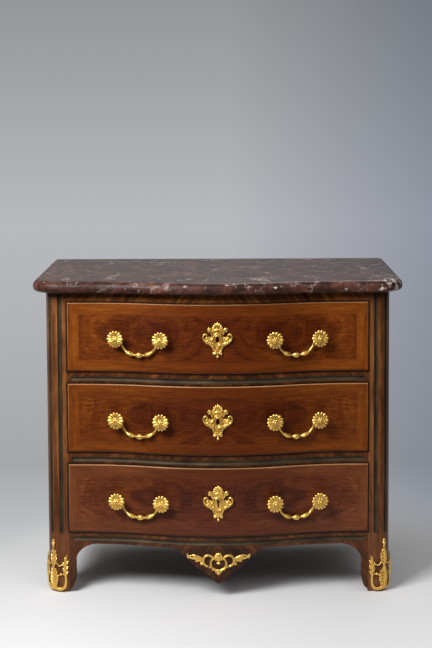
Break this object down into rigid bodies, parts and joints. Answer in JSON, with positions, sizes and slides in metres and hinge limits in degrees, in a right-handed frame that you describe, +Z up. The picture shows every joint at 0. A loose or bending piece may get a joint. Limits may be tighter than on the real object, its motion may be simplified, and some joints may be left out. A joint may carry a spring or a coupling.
{
  "type": "commode chest of drawers",
  "caption": "Serpentine-fronted commode with drawers on runners, brass-lined flutes, gilt drop handles, locks, mounts and a marble top.",
  "frame": {"origin": "middle of the object's plan, on the floor under the feet", "axes": "+X to the viewer's right along the front, +Y to the back, +Z up; the drawers open towards -Y"},
  "size_m": [0.971, 0.5649, 0.831],
  "materials": {
    "kingwood_veneer": "french polished",
    "oak": "planed, waxed",
    "softwood": "planed, aged",
    "marble": "polished",
    "gilt_bronze": "fire gilt, worn",
    "aged_brass": "aged",
    "lock_iron": "filed, oiled"
  },
  "bodies": {
    "carcase": {"post_front_left": "kingwood_veneer", "post_front_right": "kingwood_veneer", "post_rear_left": "kingwood_veneer", "post_rear_right": "kingwood_veneer", "side_panel_left": "kingwood_veneer", "side_panel_right": "kingwood_veneer", "top_rail": "kingwood_veneer", "upper_divider_rail": "kingwood_veneer", "lower_divider_rail": "kingwood_veneer", "bottom_rail": "kingwood_veneer", "apron": "kingwood_veneer", "front_knee_brackets": "kingwood_veneer", "side_knee_brackets": "kingwood_veneer", "back_frame": "softwood", "back_panels": "softwood", "top_board": "softwood", "dust_boards": "softwood", "bottom_board": "softwood", "drawer_runners": "softwood", "drawer_guides": "softwood", "drawer_stops": "softwood", "marble_top": "marble", "post_flute_strips": "aged_brass", "rail_flute_strips": "aged_brass", "sabot_left": "gilt_bronze", "sabot_right": "gilt_bronze", "apron_mount": "gilt_bronze"},
    "bottom_drawer": {"bottom_drawer_front": "kingwood_veneer", "bottom_drawer_side_left": "oak", "bottom_drawer_side_right": "oak", "bottom_drawer_back": "oak", "bottom_drawer_bottom": "oak", "bottom_lock_case": "lock_iron", "bottom_escutcheon": "gilt_bronze", "bottom_rosettes": "gilt_bronze"},
    "bottom_bail_left": {"bottom_bail_left": "gilt_bronze"},
    "bottom_bail_right": {"bottom_bail_right": "gilt_bronze"},
    "bottom_lock_bolt": {"bottom_lock_bolt": "lock_iron"},
    "middle_drawer": {"middle_drawer_front": "kingwood_veneer", "middle_drawer_side_left": "oak", "middle_drawer_side_right": "oak", "middle_drawer_back": "oak", "middle_drawer_bottom": "oak", "middle_lock_case": "lock_iron", "middle_escutcheon": "gilt_bronze", "middle_rosettes": "gilt_bronze"},
    "middle_bail_left": {"middle_bail_left": "gilt_bronze"},
    "middle_bail_right": {"middle_bail_right": "gilt_bronze"},
    "middle_lock_bolt": {"middle_lock_bolt": "lock_iron"},
    "top_drawer": {"top_drawer_front": "kingwood_veneer", "top_drawer_side_left": "oak", "top_drawer_side_right": "oak", "top_drawer_back": "oak", "top_drawer_bottom": "oak", "top_lock_case": "lock_iron", "top_escutcheon": "gilt_bronze", "top_rosettes": "gilt_bronze"},
    "top_bail_left": {"top_bail_left": "gilt_bronze"},
    "top_bail_right": {"top_bail_right": "gilt_bronze"},
    "top_lock_bolt": {"top_lock_bolt": "lock_iron"}
  },
  "joints": [
    {"name": "bottom_drawer_slide", "type": "slide", "parent": "carcase", "child": "bottom_drawer", "axis": [0, -1, 0], "range_m": [0, 0.38]},
    {"name": "bottom_bail_left_swing", "type": "hinge", "parent": "bottom_drawer", "child": "bottom_bail_left", "pos_m": [-0.20381, -0.23524, 0.2545], "axis": [-0.9785, 0.2061, 0], "range_deg": [0, 36]},
    {"name": "bottom_bail_right_swing", "type": "hinge", "parent": "bottom_drawer", "child": "bottom_bail_right", "pos_m": [0.20381, -0.23524, 0.2545], "axis": [-0.9785, -0.2061, 0], "range_deg": [0, 36]},
    {"name": "bottom_lock_bolt_throw", "type": "slide", "parent": "bottom_drawer", "child": "bottom_lock_bolt", "axis": [0, 0, 1], "range_m": [0, 0.011]},
    {"name": "middle_drawer_slide", "type": "slide", "parent": "carcase", "child": "middle_drawer", "axis": [0, -1, 0], "range_m": [0, 0.38]},
    {"name": "middle_bail_left_swing", "type": "hinge", "parent": "middle_drawer", "child": "middle_bail_left", "pos_m": [-0.20381, -0.23524, 0.4685], "axis": [-0.9785, 0.2061, 0], "range_deg": [0, 36]},
    {"name": "middle_bail_right_swing", "type": "hinge", "parent": "middle_drawer", "child": "middle_bail_right", "pos_m": [0.20381, -0.23524, 0.4685], "axis": [-0.9785, -0.2061, 0], "range_deg": [0, 36]},
    {"name": "middle_lock_bolt_throw", "type": "slide", "parent": "middle_drawer", "child": "middle_lock_bolt", "axis": [0, 0, 1], "range_m": [0, 0.011]},
    {"name": "top_drawer_slide", "type": "slide", "parent": "carcase", "child": "top_drawer", "axis": [0, -1, 0], "range_m": [0, 0.38]},
    {"name": "top_bail_left_swing", "type": "hinge", "parent": "top_drawer", "child": "top_bail_left", "pos_m": [-0.20381, -0.23524, 0.6825], "axis": [-0.9785, 0.2061, 0], "range_deg": [0, 36]},
    {"name": "top_bail_right_swing", "type": "hinge", "parent": "top_drawer", "child": "top_bail_right", "pos_m": [0.20381, -0.23524, 0.6825], "axis": [-0.9785, -0.2061, 0], "range_deg": [0, 36]},
    {"name": "top_lock_bolt_throw", "type": "slide", "parent": "top_drawer", "child": "top_lock_bolt", "axis": [0, 0, 1], "range_m": [0, 0.011]}
  ]
}
